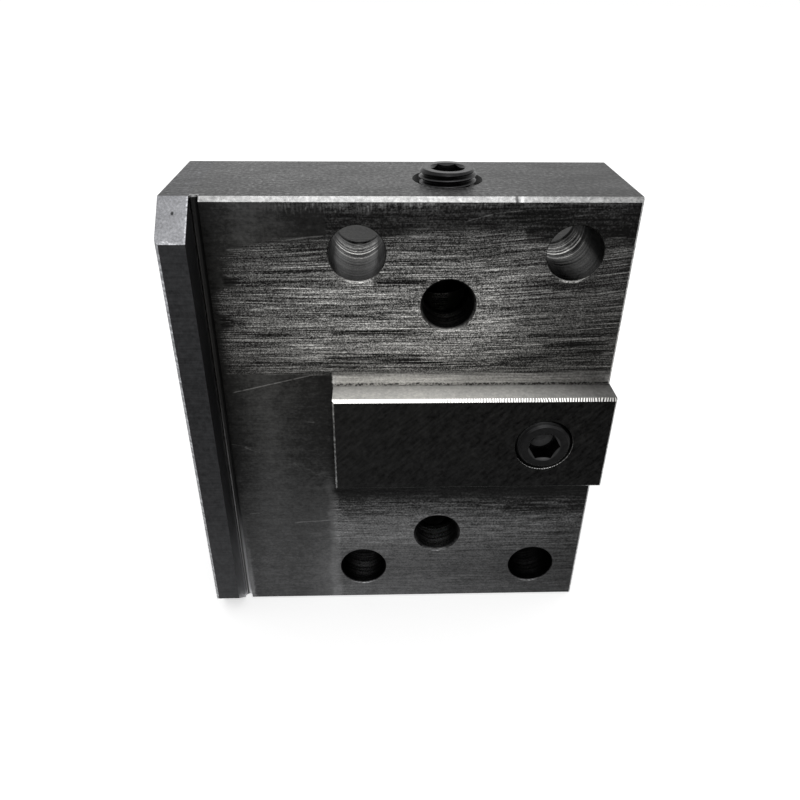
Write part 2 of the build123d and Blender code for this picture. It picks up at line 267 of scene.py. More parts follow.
class Surface:
    """Where a point of a surface lies, in millimetres, and which way it faces."""

    def __init__(self, tree):
        self.tree = tree
        at = add(tree, "TexCoord").outputs["Object"]
        self.spot = add(tree, "VectorMath", {"Vector": at, "Scale": 1 / MM}, {"operation": "SCALE"})
        split = add(tree, "SeparateXYZ", {0: self.spot})
        self.x, self.y, self.z = (Number(tree, socket) for socket in split.outputs)
        normal = add(tree, "NewGeometry").outputs["True Normal"]
        facing = add(tree, "SeparateXYZ", {0: normal})
        self.facing_x, self.facing_y, self.facing_z = (Number(tree, socket) for socket in facing.outputs)
        # The same place with a waver, for marks whose edges are ragged
        waver = self.grain((5.0, 1.0, 0.6), 61.0, 2.0, 0.6)
        wavered = {0: self.x + waver * 1.2, 1: self.y, 2: self.z + waver * 0.28}
        self.ragged_spot = add(tree, "CombineXYZ", wavered)

    def grain(self, lengths, seed, detail=3.0, rough=0.6, place=None):
        """Noise from about -1 to 1. Its marks have these lengths along X, Y and Z, or one length, in mm."""
        if isinstance(lengths, float):
            lengths = (lengths,) * 3
        spot = self.spot
        if place is not None:
            spot = add(self.tree, "CombineXYZ", dict(enumerate(place)))
        sized = add(self.tree, "VectorMath", {0: spot, 1: lengths}, {"operation": "DIVIDE"})
        moved = add(self.tree, "VectorMath", {0: sized, 1: (seed, seed * 1.7, -seed)}, {"operation": "ADD"})
        links = {"Vector": moved, "Scale": 1.0, "Detail": detail, "Roughness": rough}
        noise = add(self.tree, "TexNoise", links)
        return Number(self.tree, noise.outputs[0]) * 4.0 - 2.0

    def wave(self, number, spacing):
        """Even wave from -1 to 1 along a number, with one crest each spacing."""
        return (number * (2 * math.pi / spacing)).worked("SINE")

    def distance(self, first, second):
        """Distance from an axis, from the two offsets across it."""
        return (first * first + second * second) ** 0.5

    def ring(self, node_name, axis):
        """Distance from the axis of a round CAD node. The axis is x, y or z."""
        low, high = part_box(node_name)
        middle = (low + high) / 2 / MM
        across = [name for name in "xyz" if name != axis]
        return self.distance(*(getattr(self, name) - getattr(middle, name) for name in across))


def start_material(name):
    """An empty material, with its surface shader and output joined."""
    material = bpy.data.materials.new(name)
    material.use_nodes = True
    tree = material.node_tree
    tree.nodes.clear()
    shader = add(tree, "BsdfPrincipled")
    add(tree, "OutputMaterial", {"Surface": shader})
    return material, tree, shader


def finish_metal(tree, shader, tone, tint, roughness, height, depth, cool=None, glance=None):
    """Joins a metal's brightness from 0 to 255, its tint, roughness and relief to its shader.

    The glance is how far it mirrors at a low angle, from 0 to 1.
    """
    # Straight lines between nine stops follow the sRGB curve closely
    stops = []
    for step in range(9):
        share = step / 8
        grey = linear_channel(share)
        stops.append((share, (grey * tint[0], grey * tint[1], grey * tint[2], 1.0)))
    colour = add(tree, "ValToRGB", {"Fac": tone / FULL}, None, stops)
    if cool is not None:
        # Ground steel reads warm where it is rubbed bright, and cool elsewhere as a painted sky reflection
        shades = [(0.0, linear("#fffdf9")), (0.5, linear("#fcfcfc")), (1.0, linear("#f8f9ff"))]
        shade = add(tree, "ValToRGB", {"Fac": cool}, None, shades)
        links = {"Factor": 1.0, "A": colour, "B": shade}
        colour = add(tree, "Mix", links, {"data_type": "RGBA", "blend_type": "MULTIPLY"})
    bump = add(tree, "Bump", {"Strength": 1.0, "Distance": depth * MM, "Height": height})
    connect(tree, shader, {"Base Color": colour, "Metallic": 1.0, "Roughness": roughness, "Normal": bump})
    if glance is not None:
        connect(tree, shader, {"Specular Tint": glance})


def new_object(name, data):
    """A new object in the scene."""
    made = bpy.data.objects.new(name, data)
    bpy.context.scene.collection.objects.link(made)
    return made


def dress(target, material):
    """Gives an object this one material."""
    target.data.materials.clear()
    target.data.materials.append(material)


def streak(at, start, end, half_width, soft):
    """1 along a straight mark on the mounting face, from one (x, z) to another, and 0 beside it."""
    run = Vector(end) - Vector(start)
    middle = (Vector(end) + Vector(start)) / 2
    links = {"Vector": at.ragged_spot, "Location": (middle.x, 0.0, middle.y),
             "Rotation": (0.0, -math.atan2(run.y, run.x), 0.0), "Scale": (run.length / 2, 1.0, half_width)}
    own = add(at.tree, "Mapping", links, {"vector_type": "TEXTURE"})
    split = add(at.tree, "SeparateXYZ", {0: own})
    along, level, across = (Number(at.tree, socket) for socket in split.outputs)
    return abs(along).rise(1.0, 0.88) * abs(across).rise(1.0 + soft, 1.0 - soft)


def scratches(at):
    """The long single scratches on the mounting face, broken in places as real ones are."""
    total = 0.0
    for start, end, level in SINGLE_SCRATCHES:
        total = streak(at, start, end, SCRATCH_HALF_WIDTH, 0.8) * level + total
    return total * at.grain((1.6, 1.0, 1.6), 67.0).rise(-1.1, 0.1) * 0.8


def dark_streaks(at):
    """How much darker the face is where fewer marks cross it."""
    total = 0.0
    for start, end, half_width, level in DARK_STREAKS:
        total = streak(at, start, end, half_width, 0.5) * level + total
    return total * at.grain((9.0, 1.0, 0.35), 69.0, 1.0).rise(-1.0, 0.1)


def rubbed_tone(at, settings):
    """Brightness and relief of the rubbed part of the face: fine lines that follow the turret's slide."""
    # The lines climb to the right in both upper corners, and wander a little
    right = at.x.at_least(0.0)
    left = (-30.0 - at.x).at_least(0.0)
    climb = right * (right * 0.001 + 0.09) * ((at.z - 14.0) / 40.0)
    climb = climb - left * 0.05 * at.z.rise(40.0, 48.0)
    lifted = at.z - climb + at.grain((45.0, 5.0, 14.0), 3.1, 1.0) * 0.3
    bent = (at.x, 0.0, lifted)
    length = settings.scratch_length / MM
    width = settings.scratch_width / MM
    lines = at.grain((length, 1.0, width), 11.0, 0.0, 0.6, bent)
    ticks = at.grain((length * 0.3, 1.0, width), 27.0, 0.0, 0.6, bent)
    sand = at.grain((width * 1.3, 1.0, width * 1.1), 45.0, 0.0, 0.6)
    coarse = at.grain((length * 1.5, 1.0, width * 4.0), 43.0, 2.0, 0.6, bent)
    patches = at.grain((length * 1.2, 1.0, width * 16.0), 41.0, 3.0, 0.6)
    single = at.grain((length * 1.8, 1.0, width * 1.2), 63.0, 0.0, 0.4, bent).rise(0.66, 1.0)
    mean = at.x.levels((-60, 14), (-57.5, 28), (-55, 54), (-51, 64), (-46, 75), (-40, 78), (-33, 86),
        (-20, 93), (0, 98), (8, 92), (15, 71), (22, 55), (34, 48), (35.5, 45), (38, 42))
    fade = at.z.levels((15, 150), (18, 195), (21.5, 215), (23, 250), (38, 255), (42, 235), (46, 200),
        (50, 165), (53, 150), (60, 120)) / FULL
    fade = blend(fade, 0.95, at.x.rise(6.0, 20.0) * 0.8)
    texture = lines * 0.54 + ticks * 0.30 + sand * 0.54 + coarse * 0.30 + patches * 0.16
    tone = mean * fade * (texture + 1.0) + single * 44.0
    return tone.at_least(14.0), texture * 60.0


def column_tone(at):
    """Brightness of the milled column between the lip and the key, with painted light: painted shade beside
    the lip, one soft painted highlight down it, and lighter toward the bottom.
    """
    upper = at.x.levels((-60, 8), (-58.6, 13), (-57.5, 20), (-55, 30), (-52.5, 38), (-49.5, 47),
        (-47.5, 50), (-44.5, 43), (-41, 37), (-37, 31), (-31, 27))
    lower = at.x.levels((-60, 74), (-57, 66), (-55, 63), (-52, 69), (-46, 67), (-42, 67), (-38, 76),
        (-34, 85), (-31, 80))
    sink = at.z.levels((-60, 255), (-50, 250), (-42, 210), (-30, 160), (-22, 96), (-14, 42), (-5, 0)) / FULL
    return blend(upper, lower, sink)


def right_tone(at):
    """Brightness of the face above and below the key, from the bottom to the top, with painted light: painted
    shade just under the key, a painted reflection of the key's top just above it, and darker toward the
    right.
    """
    tone = at.z.levels((-60, 84), (-54, 80), (-50, 74), (-42, 76), (-37, 88), (-34, 92), (-30, 82),
        (-27, 70), (-24.5, 54), (-22, 35), (-20, 20), (-16.5, 16), (-13.5, 16), (13.4, 22), (13.6, 200),
        (14.6, 204), (15.6, 180), (16.6, 142), (17.6, 104), (19, 84), (40, 60), (49, 40), (52, 29),
        (56, 29), (60, 38))
    fade = at.x.levels((-31, 255), (-12, 255), (4, 226), (10, 218), (22, 190), (34, 156), (38, 148)) / FULL
    lines = at.grain((9.0, 1.0, 0.4), 71.0, 1.0, 0.6)
    sand = at.grain((0.4, 1.0, 0.34), 75.0, 1.0, 0.6)
    strength = at.z.levels((-60, 9), (-45, 12), (-37, 20), (-30, 26), (-24, 30), (-21, 10), (-15, 5),
        (13, 5), (15, 24), (18, 20))
    return tone * fade + (lines + sand) * strength


def face_tone(at, settings):
    """Brightness and relief of the mounting face: smooth left, rubbed above the key, ground below it, with
    its dark levels a painted reflection of dark surroundings.
    """
    # The pass above the key starts with a ragged edge, the one below it softly
    edge = at.x + at.grain((2.0, 1.0, 0.5), 15.0) * 0.3
    right_part = blend(at.x.rise(-33.6, -31.0), edge.rise(-31.4, -30.9), at.z.rise(0.0, 5.0))
    tone = blend(column_tone(at), right_tone(at), right_part)
    # Light soft band where two milling passes meet, and a lighter strip beside the groove that grows toward
    # the bottom
    pass_edge = at.x + at.grain((30.0, 1.0, 5.0), 13.0)
    pass_level = at.z.levels((-60, 20), (-40, 14), (-24, 18), (-17, 14), (-13, 0))
    tone = tone + pass_edge.band(-33.8, -31.2, 0.7) * pass_level
    groove_side = at.x + at.grain((2.0, 1.0, 2.4), 19.0) * 0.5
    groove_side_level = at.z.levels((-60, 40), (-50, 34), (-42, 26), (-35, 14), (-28, 4), (-20, 0))
    tone = tone + groove_side.rise(-56.4, -57.4) * groove_side_level
    grit = at.grain((0.7, 1.0, 0.5), 5.0, 2.0, 0.7)
    lines = at.grain((9.0, 1.0, 0.5), 6.0)
    cloud = at.grain((3.4, 2.0, 2.4), 7.0)
    tone = tone + grit * 10.0 + lines * 5.0 + cloud * 7.0 + scratches(at)
    # Whitish scuff of short upright ticks just under the top chamfer, where the block was set down
    ticks = at.grain((0.4, 1.0, 2.2), 91.0, 1.0, 0.5)
    worn = at.z + ticks * 0.8 + at.grain((7.0, 1.0, 9.0), 92.0) * 0.7
    scuff_level = at.x.levels((-56, 0), (-46, 80), (-38, 225), (8, 205), (18, 100), (38, 90)) / FULL
    scuff = worn.rise(56.8, 59.4) * scuff_level * at.grain((5.0, 1.0, 5.0), 94.0, 1.0).rise(-0.9, 0.5)
    tone = tone + scuff * (ticks * 22.0 + grit * 30.0 + at.grain((3.0, 1.0, 0.4), 93.0) * 24.0 + 44.0)
    # The rubbed zone starts at the left where each mark starts, and ends at a step in the upper right
    start = at.z.levels((15, 5), (28, 5), (29.5, 26), (32.4, 26), (33.4, 0), (38.8, 0), (39.8, 56),
        (41.6, 56), (42.8, 30), (48, 50), (51, 150), (54, 240))
    ragged = at.x + at.grain((60.0, 1.0, 0.4), 17.0, 1.0, 0.7) * 2.6 - start / 10.0
    top = at.x.levels((-60, 60), (-40, 90), (-30, 110), (-20, 120), (-12, 190), (-8, 230), (12.6, 230),
        (13.2, 95), (38, 90)) / 50.0 + 48.6
    upper_edge = at.z + at.grain((18.0, 1.0, 0.6), 23.0, 2.0, 0.7) * 1.4 - top
    lower_edge = at.z + at.grain((14.0, 1.0, 0.6), 29.0) * 0.7
    strength = ragged.rise(-58.6, -56.0) * upper_edge.rise(1.2, -1.2) * lower_edge.rise(16.6, 17.8)
    rubbed, streaks = rubbed_tone(at, settings)
    tone = (blend(tone, rubbed, strength) - dark_streaks(at)).at_least(12.0)
    # Dark ragged line at the root of the key's upper flank
    root = (at.z + at.grain((0.7, 1.0, 50.0), 37.0, 2.0, 0.7) * 0.3).band(key_top + 0.2, key_top + 0.75, 0.16)
    crumbs = at.grain((0.6, 1.0, 0.5), 38.0, 1.0, 0.6).rise(-0.7, 0.5)
    tone = tone - root * crumbs * at.x.rise(key_left - 0.3, key_left + 0.5) * tone * 0.62
    return tone, streaks * strength


def hole_walls(at, tone, settings):
    """Lays the walls of the holes, with the rings that the drill left and painted light and shade, over a
    brightness.

    Also gives where the edges of the holes are, and how much less the walls mirror at a low angle, most where
    painted shade lies and where the drill tore them.
    """
    bolt_across = at.x.from_pair(bolt_half_x)
    bolt_up = at.z.from_pair(bolt_half_z)
    bolt_ring = at.distance(bolt_across, bolt_up)
    port_across = at.x - port_x
    port_up = at.z.from_pair(port_z)
    port_ring = at.distance(port_across, port_up)
    # Degrees round a hole, 0 at the bottom and 90 at the right
    sweep = bolt_across.worked("ARCTAN2", -bolt_up) * math.degrees(1.0)
    port_sweep = port_across.worked("ARCTAN2", -port_up) * math.degrees(1.0)
    is_upper = at.z.rise(-1.0, 1.0)
    is_right = at.x.rise(-1.0, 1.0)

    spacing = settings.drill_ring_spacing / MM
    depth = at.y + at.grain((5.0, 9.0, 5.0), 2.0, 1.0) * 0.3
    rings = at.grain((1.0, spacing, 1.0), 9.0, 2.0, 0.6, (0.0, depth, 0.0))
    cuts = abs(at.grain((1.0, spacing * 1.6, 1.0), 19.0, 1.0, 0.5, (0.0, depth, 0.0))).rise(0.2, 0.05)
    cuts = cuts * at.grain(3.0, 21.0).rise(-0.9, 0.1)
    sand = at.grain(0.4, 24.0, 1.0, 0.6)
    ring_strength = at.y.levels((0, 130), (6, 180), (13, 210), (15, 255), (26, 255), (28, 100)) / FULL
    texture = rings * ring_strength * 1.2 + sand * 0.45 + 1.0

    # The lower half of each upper hole catches the light, the sides turn away from it
    left_front = sweep.levels((-90, 100), (-62, 112), (-50, 175), (-40, 230), (0, 255), (30, 250),
        (42, 205), (54, 210), (70, 195), (80, 140), (90, 110))
    left_deep = sweep.levels((-90, 98), (-64, 100), (-54, 195), (-44, 255), (36, 255), (44, 205), (50, 112),
        (90, 96))
    right_front = sweep.levels((-60, 116), (-18, 122), (-6, 150), (18, 205), (36, 255), (54, 250),
        (66, 180), (76, 96), (90, 84))
    right_deep = sweep.levels((-40, 250), (8, 255), (30, 240), (38, 180), (66, 160), (74, 82), (90, 76))
    left_lit = blend(left_front, left_deep, at.y.rise(4.5, 7.0))
    right_lit = blend(right_front, right_deep, at.y.rise(12, 15))
    lit = blend(left_lit, right_lit, is_right) / FULL
    # The brightness along each hole's depth is painted light and shade too, the upper holes lit deep down
    # from behind; the right lower hole is painted darker and the lower port brighter
    upper = at.y.levels((0, 44), (5, 48), (10, 52), (13.6, 60), (14.8, 104), (17, 112), (20, 136),
        (21.5, 114), (23, 104), (24.5, 76), (25.4, 34), (26.4, 13), (27, 10), (33, 60))
    upper = upper * at.x.levels((-20, 280), (20, 290)) / FULL * lit * texture
    upper = upper * (1.0 - cuts * ring_strength * 0.85)
    low_lit = sweep.levels((-90, 60), (-50, 75), (-30, 130), (-10, 230), (0, 255), (20, 215), (40, 110),
        (60, 75), (90, 60)) / FULL
    lower = at.y.levels((0, 66), (1.6, 44), (2.6, 84), (4, 112), (7, 128), (9.5, 90), (14, 40), (33, 12))
    lower = lower * low_lit * texture * at.x.levels((-20, 255), (20, 150)) / FULL
    bolt_tone = blend(lower, upper, is_upper)
    port_lit = port_sweep.levels((-90, 70), (-45, 120), (-20, 200), (0, 255), (25, 220), (45, 120),
        (90, 60)) / FULL
    port_tone = at.y.levels((0, 76), (2, 112), (4, 140), (8, 190), (9, 150), (10, 36), (11, 14), (30, 5))
    port_tone = port_tone * port_lit * texture * at.z.levels((-20, 350), (20, 215)) / FULL
    in_bolt = bolt_ring.rise(bolt_radius + 0.1, bolt_radius + 0.05) * at.y.rise(0.12, 0.16)
    in_port = port_ring.rise(port_radius + 0.15, port_radius + 0.05)
    in_port = in_port * at.y.rise(port_bevel_depth - 0.05, port_bevel_depth + 0.02)
    in_port = in_port * at.y.rise(plate_back - 4.0, plate_back - 5.0)
    # Painted highlight, speckled, on the edge below each hole and each port, where it faces up to the light
    glint = bolt_ring.band(bolt_radius - 0.1, bolt_radius + 0.5, 0.2) * sweep.band(-24, 22, 14)
    glint = glint * at.z.levels((-20, 64), (20, 110)) * (at.grain((0.8, 1.0, 0.5), 57.0) + 0.8)
    glint_port = port_ring.band(port_radius + 0.5, port_radius + 0.9, 0.15) * port_sweep.band(-20, 20, 14)
    glint = glint + glint_port * (at.grain((0.6, 1.0, 0.5), 58.0) * 50.0 + 40.0)
    tone = tone + glint * at.y.rise(0.05, 0.0)
    tone = layered(tone, (bolt_tone.at_least(6.0), in_bolt), (port_tone.at_least(2.0), in_port))
    near_hole = bolt_ring.rise(bolt_radius + 0.4, bolt_radius + 0.3)
    near_port = port_ring.rise(port_radius + 0.9, port_radius + 0.7)
    # The walls mirror least where they lie in the dark
    shade_and_tear_dulling = (1.0 - lit) * at.x.levels((-20, 230), (20, 170)) / FULL
    shade_and_tear_dulling = shade_and_tear_dulling + at.y.rise(24.0, 25.6) * at.x.levels((-20, 76), (20, 12)) / FULL
    shade_and_tear_dulling = (shade_and_tear_dulling + cuts * ring_strength * 0.25 + 0.05).at_most(0.5)
    shade_and_tear_dulling = blend(0.3, shade_and_tear_dulling, is_upper) * in_bolt
    return tone, near_hole.at_least(near_port), shade_and_tear_dulling


def bevel_tone(at, on_lip, proud, near_hole, settings):
    """Brightness of the chamfers: a painted highlight where they face the light, and painted shade where they
    turn away.
    """
    speckle = at.grain(0.8, 12.0, 2.0, 0.7) * 34.0 + at.grain((6.0, 3.0, 3.0), 14.0) * 16.0
    # Painted highlight along the top chamfer, strongest near the middle and fading toward the ends, most to
    # the right
    top = at.x.levels((-66, 150), (-58, 172), (-46, 190), (-20, 196), (8, 192), (20, 165),
        (38, 138)) + speckle
    top = top - at.x.band(9.9, 10.5, 0.25) * 90.0 + at.x.band(11.0, 11.7, 0.3) * 50.0
    # The lip's end carries a paler painted highlight, and is blasted by chips at its lower and inner edges
    lip_end = at.grain(0.5, 4.0, 2.0, 0.7) * 22.0 + at.grain((7.0, 4.0, 4.0), 8.0) * 14.0 + 146.0
    burr = (at.x + at.grain(0.8, 54.0) * 0.25).rise(lip_inner - 0.5, lip_inner - 0.2)
    burr = burr.at_least((at.y + at.grain(0.9, 55.0) * 0.3).rise(key_face + 0.6, key_face + 0.2))
    lip_end = lip_end + burr * (at.grain(0.6, 56.0, 2.0, 0.7) * 70.0 + 34.0)
    lip_end = lip_end - at.distance(at.x + 63.1, at.y + 1.9).rise(0.4, 0.15) * 90.0
    # File marks across the key's edge, deeper toward the right
    pitch = settings.serration_pitch / MM
    wander = at.x + at.grain(3.0, 51.0, 1.0) * 0.35
    teeth = at.wave(wander, pitch).rise(-0.2, 0.6)
    deep = at.x.levels((-31, 20), (-12, 40), (4, 84), (18, 142), (38, 160)) * (speckle * 0.01 + 1.0)
    # The key's edge carries a painted highlight, fading at its right end
    key_edge = at.x.levels((-31, 232), (0, 236), (20, 244), (30, 230), (38, 168)) - teeth * deep
    lit = layered(top, (key_edge, proud), (lip_end, on_lip))
    # Upright chamfers stay mid grey, chamfers facing up take the painted highlight and chamfers facing down
    # painted shade
    upright = at.grain((2.0, 2.0, 0.8), 53.0) * 70.0 + 128.0
    tone = layered(upright, (lit, at.facing_z.rise(0.3, 0.66)), (26.0, at.facing_z.rise(-0.2, -0.6)))
    # Round the holes the chamfer takes a painted highlight where it faces up and painted shade where it faces
    # down, weaker on the lower holes
    ring = at.facing_z.levels((-1, 14), (-0.3, 26), (0.1, 40), (0.5, 60), (0.64, 110), (1, 200))
    ring = ring * at.z.levels((-30, 140), (-10, 160), (20, 255)) / FULL
    ring = (ring + speckle) * at.y.levels((0.0, 255), (0.25, 255), (0.5, 90), (0.7, 70)) / FULL
    return blend(tone, ring, near_hole)


def milled_tone(at):
    """Brightness of the sides and the back: arcs that a face mill leaves, and straight passes on the boss."""
    # The cutter leaves an arc each 0.25 mm, drawn each 0.9 mm so that it shows
    reach = cutter_radius ** 2
    off_middle = at.y - 20.0
    side_arc = at.z - (reach - off_middle * off_middle * 0.35).at_least(1.0) ** 0.5
    side = at.grain((1.0, 1.0, 0.9), 101.0, 2.0, 0.6, (0.0, 0.0, side_arc)) * 9.0
    back_arc = at.x - (reach - at.z * at.z * 0.3).at_least(1.0) ** 0.5
    back = at.grain((0.9, 1.0, 1.0), 103.0, 2.0, 0.6, (back_arc, 0.0, 0.0)) * 9.0
    passes = at.grain((30.0, 1.1, 1.1), 105.0, 2.0, 0.6) * 8.0
    turned = at.distance(at.y - bore_axis_y, at.z)
    bore_lines = at.grain((0.5, 1.0, 1.0), 107.0, 2.0, 0.6, (at.x, 0.0, 0.0)) * 7.0 + 24.0
    in_bore = turned.rise(bore_radius + 1.2, bore_radius + 0.8)
    nose_rings = at.grain((0.5, 1.0, 1.0), 109.0, 2.0, 0.6, (turned, at.x, 0.0)) * 9.0 + 12.0
    on_nose = at.x.rise(plate_left - 0.3, plate_left - 0.5)
    spot_ring = at.distance(abs(at.x) - bolt_half_x, abs(at.z) - bolt_half_z)
    spot_rings = at.grain((0.45, 1.0, 1.0), 111.0, 2.0, 0.6, (spot_ring, 0.0, 0.0)) * 11.0 + 10.0
    in_spot = spot_ring.rise(spot_face_radius + 0.1, spot_face_radius)
    in_spot = in_spot * at.y.band(spot_face_y, plate_back, 0.2)
    is_side = abs(at.facing_x).square_on()
    is_back = at.facing_y.square_on()
    return layered(passes, (side, is_side), (back, is_back), (nose_rings, on_nose), (bore_lines, in_bore),
                   (spot_rings, in_spot))


def ground_alloy_steel(settings):
    """Hardened alloy steel, milled and ground: grey to black, with painted reflection darkening its fronts
    and painted highlights whitening its chamfers.
    """
    material, tree, shader = start_material("Ground_hardened_alloy_steel")
    # It is streaked where it rubs; its dark fronts are a painted reflection and its white chamfers a painted
    # highlight
    at = Surface(tree)
    to_front = -at.facing_y
    is_front = to_front.square_on()
    is_bevel = to_front.band(0.62, 0.80, 0.05) * at.y.rise(bevel_depth + 0.05, bevel_depth - 0.05)
    is_top = at.facing_z.square_on()
    proud = at.y.rise(0.0, -0.1)
    on_lip = at.x.rise(lip_inner + 0.02, lip_inner + 0.01)

    fine = at.grain(0.5, 4.0, 2.0, 0.7)
    cloud = at.grain((14.0, 9.0, 9.0), 8.0)
    lines = at.grain((18.0, 0.4, 0.4), 6.0)
    marks = milled_tone(at)
    tone = marks + fine * 4.0 + cloud * 5.0 + 104.0

    # Top of the plate, of the key and of the boss's shoulder, with painted light: the plate's top grey and
    # darker to the right, the key's top bright toward its front edge, the shoulder in painted shade
    stain = at.grain(1.6, 52.0).rise(0.7, 1.2) * 26.0
    pits = at.grain((0.9, 0.9, 1.0), 59.0, 2.0, 0.7)
    top = at.x.levels((-66, 70), (-30, 75), (0, 72), (20, 54), (38, 41))
    top = top + pits * 56.0 + cloud * 20.0 + at.grain((6.0, 0.8, 1.0), 62.0) * 9.0 - stain
    key_upper = at.y.levels((-7, 270), (-4.5, 262), (-2, 238), (0, 200))
    key_upper = key_upper * at.x.levels((-31, 232), (-10, 234), (12, 218), (26, 180), (38, 112)) / FULL
    key_upper = key_upper + pits * 16.0
    shoulder = at.x.levels((-30, 40), (0, 38), (32, 34)) + pits * 20.0 + cloud * 8.0 + marks
    on_boss = at.y.rise(plate_back, plate_back + 0.5)
    top = blend(top, shoulder, on_boss)
    tone = blend(tone, blend(top, key_upper, proud), is_top)

    # Mounting face, the fronts of the lip and the key, the lip's inner wall and the groove
    plain_face, streaks = face_tone(at, settings)
    # The fronts of the lip and the key are painted dark as a painted reflection, the lip's lighter toward the
    # bottom and the key's darker to the right
    lip_face = at.z.levels((-60, 57), (-40, 50), (-20, 43), (10, 38), (52, 43), (60, 44))
    lip_face = lip_face + pits * 7.0 + lines * 5.0
    mottle = at.grain((5.0, 1.0, 1.1), 31.0, 3.0, 0.6, (at.x + at.z, 0.0, at.x - at.z))
    key_front = at.x.levels((-31, 23), (-10, 20), (10, 17), (38, 12)) + mottle * 10.0 + pits * 9.0
    front = blend(plain_face, blend(key_front, lip_face, on_lip), proud)
    tone = blend(tone, front, is_front)
    # The lip's inner wall is painted lighter toward the bottom and the top, as painted light
    inner_wall = at.z.levels((-60, 122), (-42, 116), (-30, 106), (-14, 102), (0, 92), (20, 80), (46, 92),
        (60, 110))
    is_inner_wall = at.facing_x.square_on() * at.x.band(lip_inner - 0.3, lip_inner + 0.3, 0.1)
    tone = blend(tone, inner_wall + fine * 4.0, is_inner_wall * at.y.rise(1.0, 0.6))
    # The groove is painted lighter toward the bottom, with painted highlights along its round bottom and at
    # its wall's foot, and a painted highlight where it cuts the top chamfer
    from_lip = at.x - lip_inner
    groove = from_lip.rise(0.7, 1.2) * at.z.levels((-60, 130), (-42, 110), (-35, 76), (-26, 14), (-20, 0))
    groove = groove + at.z.levels((-60, 66), (-44, 60), (-30, 36), (-20, 28), (60, 30))
    foot = at.z.levels((-60, 215), (-26, 222), (-14, 200), (-4, 216), (6, 166), (44, 168), (60, 150))
    line = at.z.levels((-60, 150), (-30, 190), (-14, 170), (0, 140), (10, 84), (50, 92), (60, 60))
    groove = layered(groove, (line, from_lip.band(0.22, 0.5, 0.1)), (foot, from_lip.rise(0.15, 0.05)),
                     (150.0, at.z.rise(top_face - 0.5, top_face - 0.4)))
    in_groove = at.x.band(lip_inner, groove_right, 0.05) * at.y.rise(0.02, 0.06)
    in_groove = in_groove * at.y.rise(groove_depth + 0.1, groove_depth - 0.1)
    tone = blend(tone, groove, in_groove)

    tone, near_hole, shade_and_tear_dulling = hole_walls(at, tone, settings)
    tone = blend(tone, bevel_tone(at, on_lip, proud, near_hole, settings), is_bevel)

    # Dark seats round the top plug and the key plug
    sunk = top_face - at.z
    top_seat = at.ring("coolant_plug_top", "z").rise(top_seat_radius + 0.1, top_seat_radius - 0.1)
    top_seat = top_seat * sunk.rise(0.02, 0.06) * sunk.rise(top_seat_depth + 0.5, top_seat_depth - 0.5)
    sunk = at.y - key_face
    key_seat = at.ring("coolant_plug_key", "y").rise(key_seat_radius + 0.1, key_seat_radius - 0.1)
    key_seat = key_seat * sunk.rise(0.02, 0.06) * sunk.rise(key_seat_depth + 0.5, key_seat_depth - 0.5)
    tone = layered(tone, (42.0 + fine * 22.0, top_seat), (20.0 + fine * 3.0, key_seat))

    # The key's top was ground across and scatters the light, the rest is smoother
    rough = layered(0.40 + lines * 0.04, (0.34, is_bevel), (0.80, is_top * proud))
    height = streaks * 0.010 + marks * 0.012 + fine * 0.12
    # Painted sky reflection: the tint turns cool toward the top, the bottom and on the lip, and warm where
    # the face is rubbed
    cool = at.z.levels((-60, 190), (-15, 150), (10, 60), (17, 0), (50, 60), (60, 140)) / FULL
    cool = blend(cool, 1.0, on_lip)
    # Torn walls in the holes, walls in painted shade and the dark seats mirror less at a low angle; so does
    # the top, which this darkens as painted shade
    glance = 1.0 - shade_and_tear_dulling.at_least(top_seat * 0.4) - is_top * (at.y.rise(0.0, 0.1) * 0.12 + on_boss * 0.16)
    finish_metal(tree, shader, tone, settings.steel_tint, rough, height, 0.02, cool, glance)
    return material


def black_oxide_steel(name, rim_radius, tint):
    """Black oxide on rolled and turned steel: near black with an oily sheen, rubbed grey on the crests."""
    material, tree, shader = start_material(name)
    # The oxide layer is thin, so the crests and edges that a key or a hand touches show the steel
    at = Surface(tree)
    radius = at.distance(at.x, at.y)
    crest = radius.rise(rim_radius - 0.35, rim_radius)
    mottle = at.grain(1.4, 3.0)
    turned = at.grain((1.0, 1.0, 0.3), 6.0, 2.0, 0.6, (radius, 0.0, at.z))
    upward = abs(at.facing_z)
    edge = upward.band(0.5, 0.85, 0.1)
    socket = radius.rise(4.3, 3.9) * upward.rise(0.9, 0.7)
    # Turned rings show on a rim that faces up
    rings = at.grain((0.3, 1.0, 1.0), 16.0, 1.0, 0.6, (radius, 0.0, 0.0)) * 36.0 + 11.0
    tone = 20.0 + crest * 30.0 + edge * 20.0 + socket * 22.0 + mottle * 6.0 + turned * 5.0
    tone = tone + rings * upward.rise(0.8, 0.95)
    finish_metal(tree, shader, tone, tint, 0.34 + mottle * 0.05, turned, 0.01)
    return material


def turned_steel(settings):
    """Carbon steel, turned and blackened: rings of fine tool marks around the bore's axis."""
    material, tree, shader = start_material("Turned_blackened_carbon_steel")
    # Each turn of the lathe leaves a ring, so the sheen fans out from the centre
    at = Surface(tree)
    radius = at.distance(at.y - bore_axis_y, at.z)
    spacing = settings.turned_ring_spacing / MM
    rings = at.grain((spacing * 0.5, spacing * 0.5, 1.0), 14.0, 2.0, 0.6, (radius, at.x, 0.0))
    cloud = at.grain(9.0, 18.0)
    edge = at.facing_x.band(0.5, 0.85, 0.1)
    tone = 88.0 + rings * 10.0 + cloud * 6.0 + edge * 50.0
    finish_metal(tree, shader, tone, settings.cap_tint, 0.36 + rings * 0.05, rings, 0.02)
    return material


